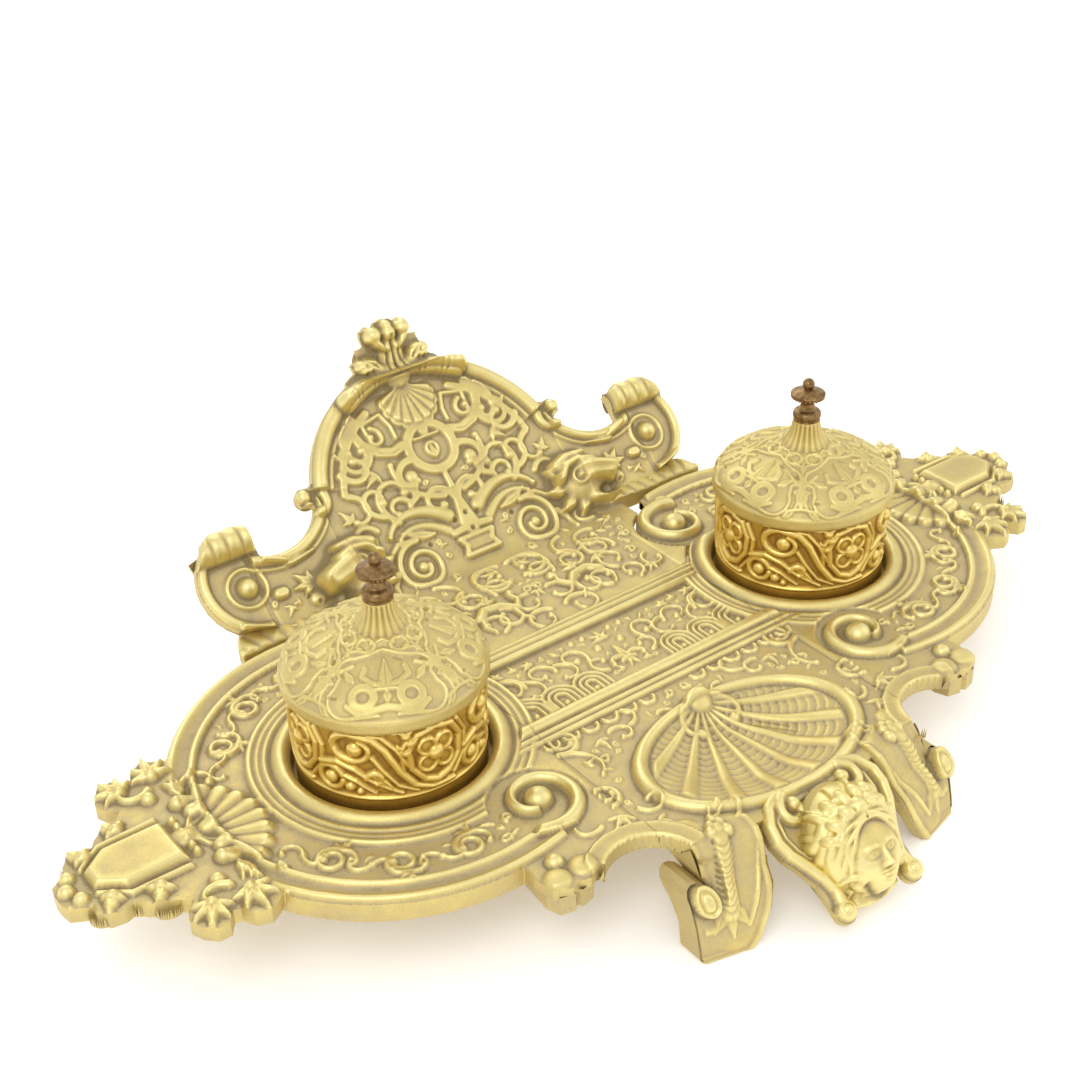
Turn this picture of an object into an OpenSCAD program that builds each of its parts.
// Double desk inkstand in cast brass.
// A lobed tray carries two round inkwells, a pen groove and a shell dish.
// An arched panel leans back behind it, and it stands on four feet.
// Origin: on the table, at the middle of its length and depth. +X right, +Y back, +Z up.

/* [Tray] */
// Distance between the well axes
well_spacing = 164; // [156:1:172]
// Height of the tray field above the table
tray_top = 29.5; // [27:0.5:36]
// Thickness of the cast plate
plate_t = 3.5; // [3:0.1:4.5]
// Outer radius of each lobe
lobe_r = 65; // [63:0.5:66]
// Width of the raised lobe rim
rim_w = 6.5; // [5:0.5:8]
// Height of the lobe rim above the field
rim_h = 1.4; // [0.8:0.1:2.4]
// Depth of the rim's edge below the field
rim_drop = 6; // [5:0.1:7]

/* [Well seats] */
// Radius of the hole that takes an inkwell
hole_r = 29.4; // [29:0.1:30.5]
// Width of the round moulding at the hole
ring_w = 5.6; // [4:0.2:6.4]
// Height of the round moulding above the field
ring_h = 2.2; // [1.5:0.1:3]
// Depth of the seat below the field
seat_depth = 7; // [6:0.5:9]
// Thickness of the seat's ledge and wall
seat_wall = 2; // [1.6:0.1:3]
// Radius of the opening in the seat's ledge
ledge_r = 24.5; // [22:0.5:26]

/* [Pen groove] */
// Line of the back moulding
back_bead_y = 15.5; // [14:0.5:17]
// Width of the back moulding
back_bead_w = 7; // [5:0.5:8]
// Line of the front moulding
front_bead_y = -22.5; // [-25:0.5:-20]
// Width of the front moulding
front_bead_w = 8.5; // [6:0.5:10]
// Height of the mouldings above the field
bead_h = 2.2; // [1.5:0.1:3]
// Depth of the groove's floor below the field
groove_depth = 1.2; // [0.6:0.1:1.8]

/* [Shell dish] */
// Centre of the dish
dish_y = -63.5; // [-65:0.5:-62]
// Half length of the dish, over its rim
dish_a = 39; // [36:0.5:41]
// Half width of the dish, over its rim
dish_b = 25.5; // [23:0.5:26.5]
// Width of the dish's rim
dish_rim_w = 4; // [3:0.5:5]
// Height of the rim above the field
dish_rim_h = 1.8; // [1:0.1:2.6]
// Depth of the dish below the field
dish_depth = 4; // [3:0.5:6]
// Number of ribs in the shell
dish_ribs = 9; // [7:2:13]

/* [End finials] */
// Half length of the whole tray
tray_half = 185; // [182:1:190]
// Length of the raised plaque
plaque_l = 26; // [22:1:28]
// Width of the raised plaque
plaque_w = 18; // [15:1:20]
// Height of the plaque above the finial
plaque_h = 2.6; // [1.5:0.1:3.5]

/* [Front legs] */
// Outer side of each front foot
foot_out = 50; // [48:0.5:53]
// Inner side of each front foot
foot_in = 33; // [31:0.5:36]
// Foremost line of the front feet
foot_y = -103.5; // [-105:0.5:-101]
// Turn of each foot away from the front
foot_splay = 14; // [0:1:18]
// Radius of the arch beside each leg
arch_r = 13.5; // [12:0.5:14.5]

/* [Mask] */
// Foremost line of the cartouche's scroll ends
cartouche_y = -121; // [-123:0.5:-119]
// Half spread of the scroll ends
scroll_spread = 13.5; // [12:0.5:15]
// Radius of the head
head_r = 10.5; // [9:0.5:11.5]

/* [Back panel] */
// Slope of the panel from the level
panel_tilt = 43; // [38:1:50]
// Line where the panel turns up
fold_y = 67; // [66:0.5:69]
// Thickness of the panel
panel_t = 3; // [2.4:0.1:3.6]
// Radius of the arched top
crown_r = 50; // [47:0.5:51]
// Height of the crown's centre up the slope
crown_s = 26; // [24:0.5:28]
// Half width of the panel over its side volutes
panel_half = 98; // [96:1:102]
// Length of the crest above the arch
crest_l = 16; // [14:1:20]
// Slope of the crest from the level
crest_tilt = 75; // [65:1:85]

/* [Rear feet] */
// Distance of each rear foot from the middle
rear_foot_x = 84; // [80:1:88]
// Line of the rear feet
rear_foot_y = 57; // [54:1:58]

/* [Inkwells] */
// Radius of the well over its relief ground
well_r = 27.9; // [26.5:0.1:28.4]
// Top of the well above the table
well_top = 56.3; // [50:0.1:60]
// Wall of the well
well_wall = 2; // [1.6:0.1:2.6]
// Width of the plain band at the foot
base_band = 3.8; // [2:0.2:6]
// Number of bosses round the well
boss_count = 8; // [6:1:10]

/* [Lids] */
// Radius of the lid
lid_r = 29.8; // [29.4:0.1:31]
// Height of the lid's upright edge
lid_edge = 3.5; // [2.5:0.5:5]
// Thickness of the lid
lid_wall = 1.8; // [1.4:0.1:2.2]
// Depth of the lid's collar in the well
collar_h = 3.6; // [2:0.2:5]
// Radius of the lid's neck at its top
neck_r = 4.3; // [3.8:0.1:5]
// Height of the neck's top above the lid's edge
neck_top = 24.8; // [22:0.2:28]

/* [Knobs] */
// Radius of the knob's disc
disc_r = 5.6; // [4.8:0.1:6.4]
// Radius of the knob's bead
bead_r = 4.6; // [4.4:0.1:5.2]
// Radius of the ball on top
ball_r = 1.95; // [1.6:0.05:2.4]
// Radius of the threaded stud
stud_r = 1.4; // [1.2:0.1:1.6]
// Number of pearls round the disc
pearl_count = 20; // [12:2:24]

/* [Ink liners] */
// Wall of the glass liner
liner_wall = 2; // [1.5:0.1:2.5]
// Height of the glass liner
liner_h = 22; // [18:0.5:24]

/* [Screws] */
// Radius of the screw shanks
screw_r = 1.5; // [1.3:0.1:1.8]
// Radius of the screw heads
screw_head_r = 3; // [2.6:0.1:3.4]
// Height of the screw heads
screw_head_h = 1.6; // [1.2:0.1:2]

/* [Fits] */
// Free gap round a lid's collar and a liner
slip_gap = 0.4; // [0.3:0.1:0.8]
// Gap between the panel and the tray beside it
panel_gap = 0.8; // [0.5:0.1:1.2]
// Gap round a screw's shank in its hole
screw_gap = 0.1; // [0.05:0.05:0.2]
// Gap of a thread in the hole it is cut in
thread_gap = 0.05; // [0.02:0.01:0.08]

/* [Carving] */
// Radius of the carved scroll rings on the tray
scroll_r = 4.4; // [3.6:0.1:4.6]
// How far the scroll rings stand above the tray
scroll_h = 1.3; // [0.8:0.1:1.8]
// Distance of the scroll rings from the well's axis
scroll_at = 49.4; // [48.5:0.1:50.5]
// How far the strap-work stands above the back panel
strap_h = 1.2; // [0.8:0.1:1.6]

/* [Hidden] */
$fn = 64;
tiny = 0.02;

well_x = well_spacing / 2;
well_line = -2.55;
tray_under = tray_top - plate_t;
rim_top = tray_top + rim_h;
rim_under = tray_top - rim_drop;
seat_top = tray_top - seat_depth;
seat_under = seat_top - seat_wall;
ring_out = hole_r + ring_w;
groove_end = well_x - ring_out;
volute_r = 14.2;
volute_x = well_x - 18;
volute_y = 42;
volute_ball = 4.2;
front_volute_y = -46;
shelf_drop = panel_t;
shelf_back = 52;
shelf_half = 46;
panel_under = tray_top - panel_t;
level_half = panel_half - 40;
panel_front = back_bead_y + back_bead_w / 2 + panel_gap;
arch_x = foot_out + 6.5;
arch_y = -88;
neck_x = arch_x - arch_r + 0.8;
apron_y = dish_y - dish_b - 1.5;
lug_x = well_x - 7;
lug_y = -72;
lug_top = 26.5;
plaque_x0 = well_x + lobe_r + 3;
well_height = well_top - seat_top;
well_bore = well_r - well_wall;
band_top = tray_top + base_band;
neck_z = well_top + neck_top;
lid_base_r = lid_r - 0.3;
collar_r = well_bore - slip_gap;
liner_r = well_bore - slip_gap;
liner_z = seat_top + well_wall;
nut_h = 2.4;
nut_r = 3.4;
neck_wall = 8.5;
foot_pad = 3;
boss_drop = 1.5;
foot_screw_len = 6.4;
screw_room = 0.4;
shelf_t = 3;
panel_bite = 2.2;
foot_screw_z = tray_under - boss_drop - foot_pad;
brass = [0.83, 0.70, 0.36];
gold = [0.80, 0.62, 0.22];
bronze = [0.45, 0.32, 0.20];
steel = [0.60, 0.58, 0.54];
glassy = [0.80, 0.88, 0.86];

// Points of an arc, for outlines that are round in stretches
function arc(x, y, r, a0, a1, n = 10) =
  [for (i = [0:n]) let (a = a0 + (a1 - a0) * i / n) [x + r * cos(a), y + r * sin(a)]];

// Points of an ellipse with half axes a and b
function oval(a, b, n = 44) = [for (i = [0:n - 1]) [a * cos(360 * i / n), b * sin(360 * i / n)]];

function flip(points) = [for (i = [len(points) - 1:-1:0]) [-points[i][0], points[i][1]]];

// Moves the well line off the origin, so that the depth is shared evenly
module placed() {
  translate([0, well_line, 0]) children();
}

// Draws its children on both sides of the middle plane
module both_sides() {
  children();
  mirror([1, 0, 0]) children();
}

module at_well(side) {
  translate([side * well_x, 0, 0]) children();
}

// ---- tray ----

// Plan of one lobe: a disc whose inner back corner makes way for the panel
module lobe_plan() {
  difference() {
    translate([well_x, 0]) circle(r = lobe_r);
    translate([volute_x - 60, panel_front - panel_gap]) square([60, 60]);
    translate([-1, -100]) square([12, 220]);
  }
  translate([volute_x, volute_y]) circle(r = volute_r);
  translate([well_x, 0]) circle(r = ring_out + 2);
}

// Plan of the middle of the tray, from the back moulding to the front apron
module middle_plan() {
  difference() {
    polygon([
      [0, panel_front - panel_gap], [well_x, panel_front - panel_gap], [well_x, -62],
      [lug_x + 6, lug_y - 4], [lug_x - 7, lug_y - 6.5], [foot_out, -92],
      [foot_in - 8, apron_y], [0, apron_y]
    ]);
    translate([arch_x, arch_y]) circle(r = arch_r);
  }
}

module field_plate() {
  both_sides() translate([0, 0, tray_under]) linear_extrude(plate_t) {
    lobe_plan();
    middle_plan();
  }
}

// Raised rim of one lobe with a deeper outer edge and a bead inside it
module lobe_rim() {
  difference() {
    translate([well_x, 0, 0]) rotate_extrude($fn = 96) {
      polygon([
        [lobe_r - rim_w, tray_top - 1], [lobe_r - rim_w, tray_top + 0.3],
        [lobe_r - rim_w * 0.8, tray_top + 0.2], [lobe_r - rim_w * 0.4, tray_top + 0.6],
        [lobe_r - 1.2, rim_top], [lobe_r, rim_top - 1], [lobe_r, rim_under],
        [lobe_r - 2.6, rim_under], [lobe_r - 2.6, tray_top - 1]
      ]);
      translate([lobe_r - rim_w - 1, tray_top]) circle(r = 1.2, $fn = 16);
    }
    translate([well_x - lobe_r - 1, -lobe_r, 0]) cube([lobe_r - 11, 2 * lobe_r, 60]);
  }
}

// Bold spiral end of a rim, with a ball in its eye
module rim_volute(y) {
  translate([volute_x, y, 0]) {
    translate([0, 0, tray_top - 1]) rotate_extrude()
      polygon([[volute_r - 4.6, 0], [volute_r - 3.4, 2.2], [volute_r - 1, 1 + rim_h], [volute_r, 0]]);
    translate([0, 0, tray_top - 0.6]) sphere(r = volute_ball, $fn = 32);
    translate([0, 0, tray_top - 1]) difference() {
      cylinder(r = 8.2, h = 2);
      translate([0, 0, -1]) cylinder(r = 6.6, h = 4);
      translate([-9, 0, -1]) cube([18, 9, 4]);
    }
  }
}

// Rings of the running scroll in a lobe's band, and of the spandrels by the dish
module scroll_rings() {
  translate([0, 0, tray_top - 0.5]) linear_extrude(0.5 + scroll_h) difference() {
    scroll_discs(scroll_r);
    scroll_discs(scroll_r - 1.6);
  }
}

module scroll_discs(r) {
  for (a = [40, 62, 84], s = [-1, 1])
    translate([well_x, 0]) rotate(s * a) translate([scroll_at, 0]) circle(r = r, $fn = 32);
  translate([9.5, -32.4]) circle(r = r, $fn = 32);
  translate([27, -32]) circle(r = r, $fn = 32);
}

// Round mouldings about the hole, and the seat under it
module well_ring() {
  rotate_extrude($fn = 96) {
    polygon(concat(
      [[hole_r, seat_under]],
      [for (a = [15:15:165]) [hole_r + ring_w / 2 * (1 - cos(a)), tray_top + ring_h * sin(a)]],
      [[ring_out, tray_under], [hole_r + seat_wall, tray_under], [hole_r + seat_wall, seat_under]]
    ));
    translate([ledge_r, seat_under]) square([hole_r - ledge_r + tiny, seat_wall]);
  }
}

// Two fine beads outside the ring, left off where the panel passes
module ring_beads() {
  difference() {
    rotate_extrude($fn = 96) {
      translate([ring_out + 2.6, tray_top]) circle(r = 1, $fn = 16);
      translate([ring_out + 6.2, tray_top]) circle(r = 1, $fn = 16);
    }
    translate([volute_x - well_x - 60, panel_front - panel_gap - 0.2, 0]) cube([60, 60, 60]);
  }
}

// Sunk floor of the pen groove between the two wells' mouldings
module groove_floor() {
  y0 = front_bead_y + front_bead_w / 2 - 0.3;
  y1 = back_bead_y - back_bead_w / 2 + 0.3;
  translate([0, 0, tray_top - groove_depth]) linear_extrude(20) difference() {
    translate([-groove_end, y0]) square([2 * groove_end, y1 - y0]);
    both_sides() translate([well_x, 0]) circle(r = ring_out + 7.6, $fn = 96);
  }
}

// Straight moulding from one well's ring to the other's
module groove_bead(y, w, lines) {
  for (i = [0:lines - 1]) {
    d = w / lines;
    translate([0, y - w / 2 + d * (i + 0.5), tray_top]) rotate([0, 90, 0])
      cylinder(r = min(d / 2, bead_h), h = 2 * groove_end + 2, center = true, $fn = 32);
  }
}

// Oval shell dish: rim and body, sunk bowl, ribs spreading from its hinge end
module dish_body() {
  body_h = dish_depth + plate_t + dish_rim_h;
  translate([0, dish_y, tray_top - dish_depth - plate_t]) linear_extrude(body_h) polygon(oval(dish_a, dish_b));
}

module dish_bowl() {
  in_a = dish_a - dish_rim_w;
  in_b = dish_b - dish_rim_w;
  translate([0, dish_y, tray_top - dish_depth / 2]) linear_extrude(20) polygon(oval(in_a, in_b));
  translate([0, dish_y, tray_top - dish_depth]) linear_extrude(20) polygon(oval(in_a * 0.78, in_b * 0.78));
}

module dish_shell_ribs() {
  in_b = dish_b - dish_rim_w;
  spread = 150;
  intersection() {
    for (i = [0:dish_ribs - 1])
      translate([0, dish_y + in_b, tray_top - dish_depth])
        rotate([0, 0, -90 - spread / 2 + spread * i / (dish_ribs - 1)]) rotate([0, 90, 0])
          cylinder(r = 1.1, h = 60, $fn = 16);
    translate([0, dish_y, 0]) linear_extrude(60)
      polygon(oval((dish_a - dish_rim_w) * 0.86, in_b * 0.86));
  }
}

// One finial: leaf blobs round a plate, the raised plaque and its pearls
module finial_plan() {
  tip = tray_half - 4.5;
  base = well_x + lobe_r;
  polygon([[base - 14, -31], [base, -29], [base + 14, -16], [tip - 8, -9], [tip, -3],
    [tip, 3], [tip - 8, 9], [base + 14, 16], [base, 29], [base - 14, 31]]);
  translate([tip, 0]) circle(r = 4.5);
  for (s = [-1, 1]) {
    translate([base - 4, s * 31]) circle(r = 4.6);
    translate([base + 6.5, s * 26.5]) circle(r = 5);
    translate([base + 15, s * 16.5]) circle(r = 4.2);
    translate([tip - 13, s * 11.5]) circle(r = 3.6);
    translate([tip - 4, s * 9]) circle(r = 4);
  }
}

module plaque() {
  x1 = plaque_x0 + plaque_l * 0.72;
  x2 = plaque_x0 + plaque_l;
  for (k = [0, 1]) translate([0, 0, k * plaque_h / 2])
    linear_extrude(plaque_h / 2 + tiny) polygon([
      [plaque_x0 + k, -plaque_w / 2 + k], [x1, -plaque_w / 2 + k], [x2 - k, -plaque_w / 5],
      [x2 - k, plaque_w / 5], [x1, plaque_w / 2 - k], [plaque_x0 + k, plaque_w / 2 - k]
    ]);
}

module end_finial() {
  base = well_x + lobe_r;
  translate([0, 0, tray_under]) linear_extrude(plate_t) finial_plan();
  translate([0, 0, tray_top - tiny]) plaque();
  for (s = [-1, 1]) {
    translate([base - 4, s * 31, tray_top]) sphere(r = 2.6, $fn = 24);
    translate([base + 6.5, s * 26.5, tray_top]) sphere(r = 3, $fn = 24);
    translate([base - 1, s * 8, tray_top + 0.5]) sphere(r = 2.8, $fn = 24);
    translate([base - 9, s * 13, tray_top + 0.6]) sphere(r = 3.1, $fn = 24);
  }
  translate([base - 10, 0, tray_top + 0.6]) sphere(r = 3.4, $fn = 24);
}

// Side profile of a front leg: the plate turns down and steps out to the foot
function leg_profile() = concat(
  [[dish_y, tray_top], [foot_y + 17, tray_top]],
  arc(foot_y + 17, tray_top - 6, 6, 90, 150, 5),
  [[foot_y + 8.5, 20.5], [foot_y + 4.5, 17], [foot_y + 2.2, 11], [foot_y + 0.6, 4], [foot_y, 0],
   [foot_y + 8, 0], [foot_y + 9, 9], [foot_y + 13, 15], [foot_y + 19, 20],
   [foot_y + 24, tray_under], [dish_y, tray_under]]
);

// Front outline of a leg: foot block, scroll neck and the bend of the arch
function leg_front() = concat(
  [[foot_in + 2, 0], [foot_out - 1, 0], [foot_out, 1.5], [foot_out, 16]],
  arc(foot_out - 4, 17, 4, 0, 150, 6),
  [[neck_x, 22.5], [neck_x, 31], [foot_in - 11, 31], [foot_in - 9, 22],
   [foot_in - 5, 10]]
);

// Turns a leg about the inner corner of its foot
module splayed() {
  translate([foot_in, foot_y, 0]) rotate([0, 0, foot_splay]) translate([-foot_in, -foot_y, 0]) children();
}

module front_leg() {
  intersection() {
    translate([0, -40, 0]) rotate([90, 0, 0]) linear_extrude(80) polygon(leg_front());
    splayed() rotate([90, 0, 90]) linear_extrude(foot_out + 5) polygon(leg_profile());
  }
  splayed() translate([foot_out - 4, foot_y + 5, 17]) rotate([90, 0, 0])
    cylinder(r = 3, h = 9, center = true, $fn = 32);
}

// Stubby lug outside each arch, with a stud on it
module front_lug() {
  translate([lug_x, lug_y, lug_top - 6]) linear_extrude(6) polygon([
    [-6, 9], [6, 9], [7, -2], [5.5, -6], [1.2, -7], [0, -5.6], [-1.2, -7], [-5.5, -6], [-7, -2]
  ]);
  translate([lug_x - 1, lug_y + 3, lug_top]) sphere(r = 2.4, $fn = 24);
}

// Moulded edge of the arch beside each leg
module arch_edge() {
  translate([arch_x, arch_y, tray_under - 0.8]) difference() {
    cylinder(r = arch_r + 5.5, h = plate_t + 1.6);
    translate([0, 0, -1]) cylinder(r = arch_r, h = plate_t + 4);
    translate([-40, -80, -1]) cube([80, 78, 20]);
    translate([10.5, -20, -1]) cube([20, 60, 20]);
  }
}

// Strap-work cartouche that hangs from the apron and carries the mask
module cartouche() {
  drop_z = 6.5;
  top_y = apron_y + 4;
  rise = tray_under - drop_z;
  run = top_y - (cartouche_y + 3);
  slope = atan2(rise, run);
  len = sqrt(rise * rise + run * run);
  translate([0, top_y, tray_under]) rotate([slope, 0, 0]) {
    difference() {
      translate([0, 0, -1]) linear_extrude(3.6) polygon([
        [-20, 0], [-21, -9], [-17, -16], [-scroll_spread - 2, 1 - len],
        [-scroll_spread + 3, -len], [-8, -len + 9], [8, -len + 9], [scroll_spread - 3, -len],
        [scroll_spread + 2, 1 - len], [17, -16], [21, -9], [20, 0]
      ]);
    }
    for (s = [-1, 1]) translate([s * 18, -8, 2]) cylinder(r = 3.2, h = 2.4, $fn = 32);
  }
  for (s = [-1, 1]) translate([s * scroll_spread, cartouche_y + 3.2, drop_z])
    sphere(r = 3.2, $fn = 32);
}

// Female mask in the round: head, hair rolls, wreath of pearls and chin
module mask() {
  face_y = cartouche_y + 13.5;
  face_z = 21;
  translate([0, face_y, face_z]) rotate([-33, 0, 0]) {
    sphere(r = head_r, $fn = 48);
    translate([0, -3, -6.2]) sphere(r = head_r * 0.72, $fn = 32);
    translate([0, -head_r * 0.96, -2.4]) sphere(r = 1.7, $fn = 16);
    for (a = [-60:30:60]) rotate([0, a, 0])
      translate([0, -3, head_r + 0.6]) sphere(r = 3.1, $fn = 24);
    for (s = [-1, 1]) translate([s * (head_r - 0.5), -1, -4]) sphere(r = 3.4, $fn = 24);
  }
}

module tray_solid() {
  field_plate();
  both_sides() {
    lobe_rim();
    scroll_rings();
    rim_volute(volute_y);
    rim_volute(front_volute_y);
    translate([well_x, 0, 0]) {
      well_ring();
      ring_beads();
    }
    end_finial();
    front_leg();
    front_lug();
    arch_edge();
    foot_boss();
  }
  groove_bead(back_bead_y, back_bead_w, 3);
  groove_bead(front_bead_y, front_bead_w, 2);
  dish_body();
  cartouche();
  mask();
  panel_shelf();
}

module tray_cuts() {
  both_sides() {
    translate([well_x, 0, seat_top]) cylinder(r = hole_r, h = 40, $fn = 96);
    translate([well_x, 0, 0]) cylinder(r = ledge_r, h = 40, $fn = 96);
    foot_screw_place() translate([0, 0, foot_screw_z])
      cylinder(r = screw_r + thread_gap, h = foot_screw_len + screw_room);
  }
  groove_floor();
  screw_grid() cylinder(r = screw_r + screw_gap, h = 60);
  dish_bowl();
}

module tray() color(brass) {
  difference() {
    tray_solid();
    tray_cuts();
  }
  dish_shell_ribs();
}

// Lowered shelf that carries the panel's level part
module panel_shelf() {
  translate([-shelf_half, panel_front - panel_gap - 4, tray_top - shelf_drop - shelf_t])
    cube([2 * shelf_half, shelf_back - panel_front + 4, shelf_t]);
}

module screw_grid() {
  for (x = [-1, 1]) for (y = [panel_front + 7, shelf_back - 7])
    translate([x * (shelf_half - 14), y, 0]) children();
}

module foot_screw_place() {
  translate([rear_foot_x, rear_foot_y - 8, 0]) children();
}

// Boss under the lobe that takes a rear foot's screw
module foot_boss() {
  foot_screw_place() translate([0, 0, tray_under - boss_drop]) cylinder(r = 6, h = boss_drop + plate_t / 2);
}

// ---- back panel ----

// Outline up the slope: side volute, hollow shoulder, cusp and arched crown
function panel_half_outline() = concat(
  [[0, -tiny], [70, -tiny], [78, 4]],
  arc(panel_half - 19, 22, 19, -50, 45, 8),
  [[panel_half - 10, 37], [panel_half - 17, 38.5], [panel_half - 23, 37]],
  arc(67, 47, 20.5, -68, -150, 8),
  arc(0, crown_s, crown_r, 22, 90, 12)
);

module panel_outline() {
  half = panel_half_outline();
  polygon(concat(half, flip([for (p = half) if (p[0] > 0.01) p])));
}

module on_slope() {
  translate([0, fold_y, tray_top]) rotate([panel_tilt, 0, 0]) children();
}

// Level part between the lobes
module panel_level() {
  difference() {
    translate([-level_half, panel_front, panel_under]) cube([2 * level_half, fold_y - panel_front, panel_t]);
    both_sides() {
      translate([well_x, 0, 0]) cylinder(r = ring_out + 2 + panel_gap, h = 60);
      translate([volute_x, volute_y, 0]) cylinder(r = volute_r + panel_gap, h = 60);
      translate([well_x, 0, 0]) difference() {
        cylinder(r = lobe_r + panel_gap, h = 60, $fn = 96);
        translate([-lobe_r - 5, -80, -1]) cube([lobe_r - 13, 160, 62]);
      }
    }
  }
}

// Band along the arch, the ties beside the crest and the edge of the shoulders
module panel_mouldings() {
  translate([0, crown_s, -0.5]) difference() {
    cylinder(r = crown_r - 0.8, h = 3.2, $fn = 96);
    translate([0, 0, -1]) cylinder(r = crown_r - 5.5, h = 6, $fn = 96);
    translate([-80, -80, -1]) cube([160, 82 + crown_r * sin(22), 8]);
  }
  both_sides() {
    translate([0, crown_s, 1]) rotate([0, 0, -17]) translate([0, crown_r - 3.6, 0]) rotate([0, 90, 0])
      cylinder(r = 4.2, h = 12, center = true, $fn = 32);
    translate([67, 47, -0.5]) difference() {
      cylinder(r = 25.4, h = 2.4);
      translate([0, 0, -1]) cylinder(r = 21.6, h = 6);
      translate([-40, -2, -1]) cube([80, 60, 6]);
      translate([4, -40, -1]) cube([80, 60, 6]);
    }
    translate([crown_r + 0.5, crown_s + 15, -panel_t]) cylinder(r = 3.6, h = panel_t + 2.2);
    translate([crown_r - 12, crown_s + 13.2, -panel_t]) cube([12, 4, panel_t]);
  }
}

// Rings and discs of the strap-work on the slope, and the scrolls on the level part
module panel_straps() {
  translate([0, 0, -0.5]) linear_extrude(0.5 + strap_h) {
    difference() {
      translate([0, 43]) circle(r = 10.4, $fn = 48);
      translate([0, 43]) circle(r = 6);
    }
    translate([0, 43]) circle(r = 2.4, $fn = 32);
    polygon([[-4.2, 12], [4.2, 12], [1.8, 22], [-1.8, 22]]);
    for (s = [-1, 1]) {
      translate([22.5 * s, 5]) strap_ring(9.8);
      translate([30 * s, 50.5]) strap_ring(5);
      translate([19 * s, 33]) strap_ring(5.4);
      translate([36 * s, 36.5]) strap_ring(4.6);
      translate([19 * s, 51.6]) strap_ring(4.6);
    }
  }
}

module level_scrolls() {
  translate([0, 0, tray_top - 0.5]) linear_extrude(0.5 + strap_h)
    for (row = [0, 1], x = [-22.5 + 7.5 * row:15:22.5])
      translate([x, row == 1 ? panel_front + 9.5 : fold_y - 21]) strap_ring(5.2);
}

module strap_ring(r) {
  difference() {
    circle(r = r, $fn = 40);
    circle(r = r - 1.8, $fn = 40);
  }
  circle(r = r * 0.3, $fn = 24);
}

// Side volute: a leaf that rolls forward, a ball and a square stud
module side_volute() {
  translate([panel_half - 13, 33, 1]) rotate([0, 90, -14])
    difference() {
      cylinder(r = 5.6, h = 21, center = true, $fn = 40);
      translate([-2.2, -1.5, 0]) cylinder(r = 3.6, h = 22, center = true, $fn = 40);
    }
  translate([panel_half - 17, 19, 0]) sphere(r = 3.4, $fn = 24);
  translate([panel_half - 27, 14, 0]) rotate([0, 0, 45]) translate([-2.3, -2.3, -0.5]) cube([4.6, 4.6, 2.4]);
}

// Lion mask in high relief: skull, muzzle, ears and jaw
module lion_mask() {
  translate([47, 12, 0]) {
    sphere(r = 8.8, $fn = 32);
    translate([0, -3.6, 5]) sphere(r = 5.4, $fn = 32);
    translate([0, -8.6, 2]) sphere(r = 4, $fn = 24);
    for (s = [-1, 1]) translate([s * 6, 6.5, 3]) sphere(r = 2.8, $fn = 24);
  }
}

// Ribbed fan between the lobe and the panel's side
module side_fan() {
  fan_r = 21;
  translate([panel_half - 24, fold_y - 4, panel_under]) intersection() {
    union() {
      cylinder(r = fan_r, h = panel_t);
      for (i = [0:7]) rotate([0, 0, 22 + 20 * i]) translate([fan_r - 6.2, 0, panel_t - 0.4])
        rotate([0, 90, 0]) cylinder(r = 1.3, h = 11, center = true, $fn = 16);
    }
    difference() {
      translate([-30, 2, -1]) cube([60, 30, 12]);
      translate([-panel_half + 24 + well_x, -fold_y + 4, -2]) cylinder(r = lobe_r + panel_gap, h = 20, $fn = 96);
    }
  }
}

// Crest: leaves standing above the arch, and a shell below it
module crest() {
  base = crown_s + crown_r - 6;
  translate([0, base * cos(panel_tilt), base * sin(panel_tilt)]) rotate([crest_tilt, 0, 0])
    translate([0, 0, -2.5]) linear_extrude(6) {
      translate([0, crest_l + 2]) circle(r = 3.2, $fn = 32);
      for (s = [-1, 1]) {
        translate([s * 5, crest_l - 2]) circle(r = 4, $fn = 32);
        translate([s * 9.5, 9]) circle(r = 4.4, $fn = 32);
      }
      polygon([[-11, 0], [11, 0], [8, 11], [4.5, crest_l], [-4.5, crest_l], [-8, 11]]);
    }
}

module crest_shell() {
  for (i = [0:6]) translate([0, crown_s + crown_r - 8, 0]) rotate([0, 0, -150 + 20 * i])
    rotate([0, 90, 0]) cylinder(r1 = 0.8, r2 = 1.9, h = 17, $fn = 16);
}

module panel_bosses() {
  rotate([-panel_tilt, 0, 0]) translate([0, -fold_y, -tray_top]) screw_grid()
    translate([0, 0, tray_top - 0.4]) cylinder(r = 3, h = 1.6);
}

module back_panel() color(brass) difference() {
  union() {
    panel_level();
    level_scrolls();
    both_sides() side_fan();
    on_slope() {
      translate([0, 0, -panel_t]) linear_extrude(panel_t) panel_outline();
      panel_mouldings();
      both_sides() {
        side_volute();
        lion_mask();
      }
      crest_shell();
      panel_straps();
      translate([-10, 3, -0.5]) linear_extrude(2.4) square([20, 7]);
      panel_bosses();
    }
    translate([0, fold_y, tray_top]) crest();
  }
  screw_grid() translate([0, 0, panel_under - 1])
    cylinder(r = screw_r + thread_gap, h = 1 + panel_bite + screw_room);
}

// ---- rear feet ----

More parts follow.
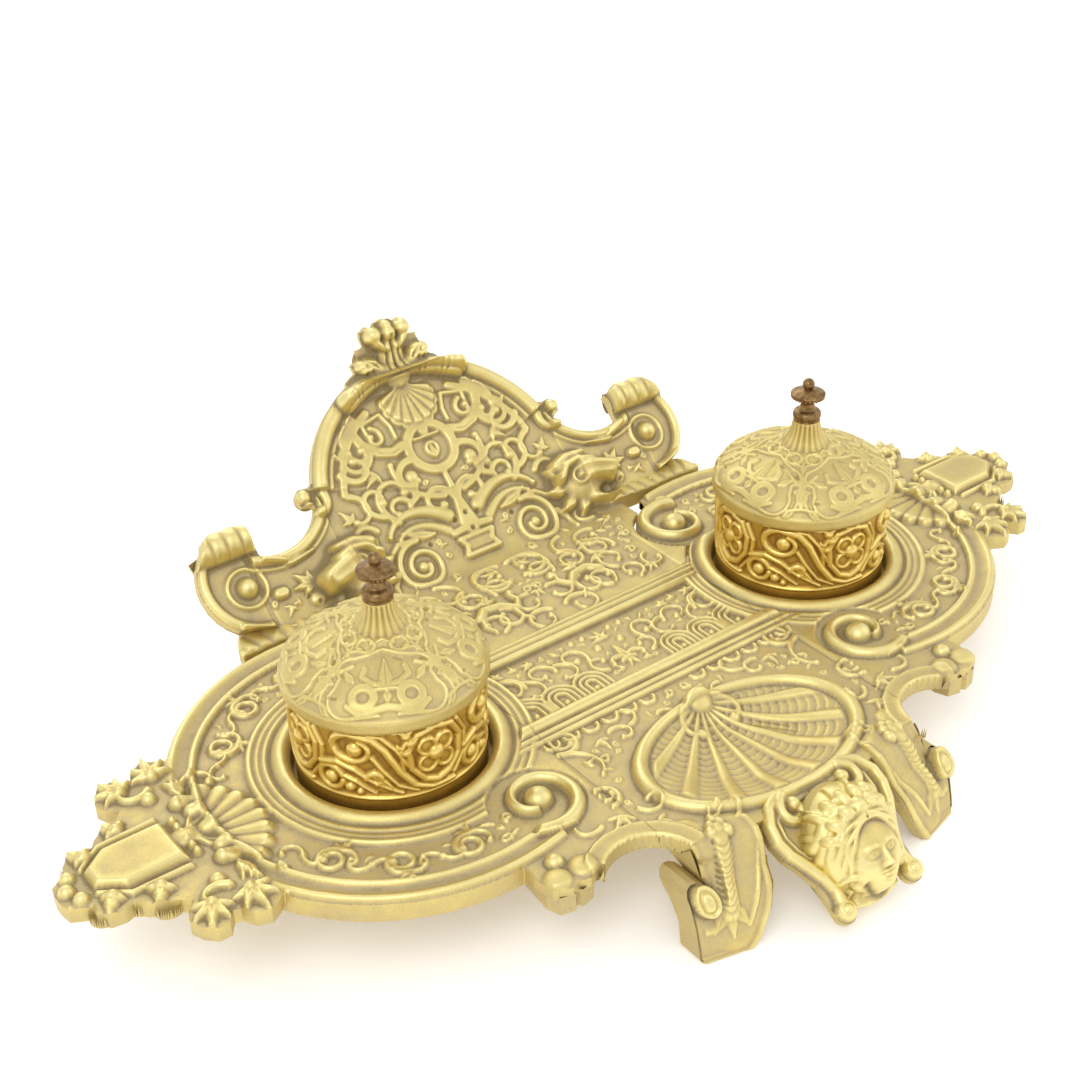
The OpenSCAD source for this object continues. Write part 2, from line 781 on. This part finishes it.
// Cast bracket foot: pad under the lobe and a scrolled leg down to the table
module rear_foot() {
  top = tray_under - boss_drop;
  foot_screw_place() difference() {
    translate([0, 0, top - foot_pad]) cylinder(r = 8, h = foot_pad);
    translate([0, 0, top - 4]) cylinder(r = screw_r + screw_gap, h = 6);
  }
  translate([rear_foot_x - 5, 0, 0]) rotate([90, 0, 90]) linear_extrude(10) polygon(concat(
    [[rear_foot_y - 4, top], [rear_foot_y - 4, top - 3]],
    arc(rear_foot_y - 1, 14, 4, 150, 230, 5),
    [[rear_foot_y + 2, 2], [rear_foot_y + 1, 0], [rear_foot_y + 11, 0], [rear_foot_y + 10, 3]],
    arc(rear_foot_y + 3, 14, 6, -40, 40, 6),
    [[rear_foot_y + 4, top]]
  ));
  translate([rear_foot_x, rear_foot_y + 6, 3.2]) rotate([0, 90, 0])
    cylinder(r = 3.2, h = 12, center = true, $fn = 32);
}

module rear_foot_right() color(brass) rear_foot();
module rear_foot_left() color(brass) mirror([1, 0, 0]) rear_foot();

// ---- inkwells ----

module well(turn) {
  color(gold) difference() {
    union() {
      rotate_extrude($fn = 96) polygon([
        [0, seat_top], [well_r, seat_top], [well_r, band_top], [well_r - 0.9, band_top + 0.6],
        [well_r - 0.9, well_top - 2.4], [well_r, well_top - 1.8], [well_r, well_top], [0, well_top]
      ]);
      for (i = [0:boss_count - 1]) {
        z = band_top + (well_top - band_top) * (i % 2 == 0 ? 0.62 : 0.3);
        rotate([0, 0, turn + 360 * i / boss_count]) translate([well_r - 2, 0, z])
          rotate([0, 90, 0]) cylinder(r = i % 2 == 0 ? 3.4 : 2.4, h = 2, $fn = 32);
      }
    }
    translate([0, 0, seat_top + well_wall]) cylinder(r = well_bore, h = well_height, $fn = 96);
  }
}

module well_left() at_well(-1) well(30);
module well_right() at_well(1) well(0);

// ---- lids ----

// Outer line of the lid from its edge to the neck, height above the edge
function lid_line() = [
  [lid_r, 0.7], [lid_r, lid_edge], [lid_r - 0.8, lid_edge + 2], [lid_r - 2.8, lid_edge + 4.5],
  [lid_r - 7.8, lid_edge + 7.3], [lid_r - 13.8, lid_edge + 9.5], [10.5, neck_top - 9.8],
  [7, neck_top - 7.4], [neck_r + 0.9, neck_top - 4.4], [neck_r, neck_top]
];

module lid() {
  line = lid_line();
  last = len(line) - 1;
  bore = stud_r + screw_gap;
  seat = neck_top - neck_wall;
  color(brass) translate([0, 0, well_top]) union() {
    rotate_extrude($fn = 96) polygon(concat(
      [[lid_base_r, 0]], line, [[bore, neck_top], [bore, seat], [8, seat]],
      [for (i = [last - 4:-1:1]) [line[i][0] - lid_wall, line[i][1] - lid_wall * 0.9]],
      [[collar_r - lid_wall, 1], [collar_r - lid_wall, -collar_h], [collar_r, -collar_h],
       [collar_r, 0]]
    ));
  }
}

module lid_left() at_well(-1) lid();
module lid_right() at_well(1) lid();

// ---- knobs ----

// Turned knob: bead, waist, pearled disc and ball, with its stud below
module knob() {
  disc_z = 9.2;
  ball_z = 12.4;
  stud_len = neck_wall + nut_h + 1;
  color(bronze) translate([0, 0, neck_z]) {
    rotate_extrude() polygon(concat(
      [[0, -stud_len], [stud_r, -stud_len], [stud_r, 0], [neck_r, 0]],
      arc(bead_r - 1.6, 2, 1.6, -60, 60, 6),
      [[2.3, 4.6], [2.1, 6.2], [3.4, 7.4], [disc_r - 0.7, disc_z - 0.9], [disc_r, disc_z],
       [disc_r - 0.9, disc_z + 0.7], [3, disc_z + 1.4], [1.2, disc_z + 2], [0, disc_z + 2]]
    ));
    translate([0, 0, ball_z]) sphere(r = ball_r, $fn = 32);
    for (i = [0:pearl_count - 1]) rotate([0, 0, 360 * i / pearl_count])
      translate([disc_r - 0.5, 0, disc_z - 0.6]) sphere(r = 0.55, $fn = 16);
  }
}

module knob_left() at_well(-1) knob();
module knob_right() at_well(1) knob();

// Nut that draws the knob's stud up inside the neck
module knob_nut() {
  color(brass) translate([0, 0, neck_z - neck_wall - nut_h]) difference() {
    cylinder(r = nut_r, h = nut_h, $fn = 6);
    translate([0, 0, -1]) cylinder(r = stud_r + thread_gap, h = nut_h + 2);
  }
}

module knob_nut_left() at_well(-1) knob_nut();
module knob_nut_right() at_well(1) knob_nut();

// ---- ink liners ----

module ink_liner() {
  in_r = liner_r - liner_wall;
  color(glassy) translate([0, 0, liner_z]) rotate_extrude($fn = 96) polygon(concat(
    [[0, 0]], arc(liner_r - 3, 3, 3, -90, 0, 5), [[liner_r, liner_h - 0.8]],
    [[liner_r - 0.8, liner_h], [in_r + 0.4, liner_h], [in_r, liner_h - 0.4]],
    arc(in_r - 3, 5.4, 3, 0, -90, 5), [[0, 2.4]]
  ));
}

module ink_liner_left() at_well(-1) ink_liner();
module ink_liner_right() at_well(1) ink_liner();

// ---- screws ----

// Slotted cheese-head screw, head down, whose head bears on the face at z = 0
module screw(length) {
  difference() {
    union() {
      translate([0, 0, -screw_head_h]) cylinder(r = screw_head_r, h = screw_head_h, $fn = 32);
      cylinder(r = screw_r, h = length, $fn = 32);
    }
    translate([-screw_head_r - 1, -0.4, -screw_head_h - 1])
      cube([2 * screw_head_r + 2, 0.8, 1 + screw_head_h / 2]);
  }
}

module panel_screws() color(steel) screw_grid()
  translate([0, 0, tray_top - shelf_drop - shelf_t]) screw(shelf_t + panel_bite);

module foot_screws() color(steel) both_sides() foot_screw_place()
  translate([0, 0, foot_screw_z]) screw(foot_screw_len);

placed() tray();
placed() back_panel();
placed() rear_foot_left();
placed() rear_foot_right();
placed() well_left();
placed() well_right();
placed() lid_left();
placed() lid_right();
placed() knob_left();
placed() knob_right();
placed() knob_nut_left();
placed() knob_nut_right();
placed() ink_liner_left();
placed() ink_liner_right();
placed() panel_screws();
placed() foot_screws();
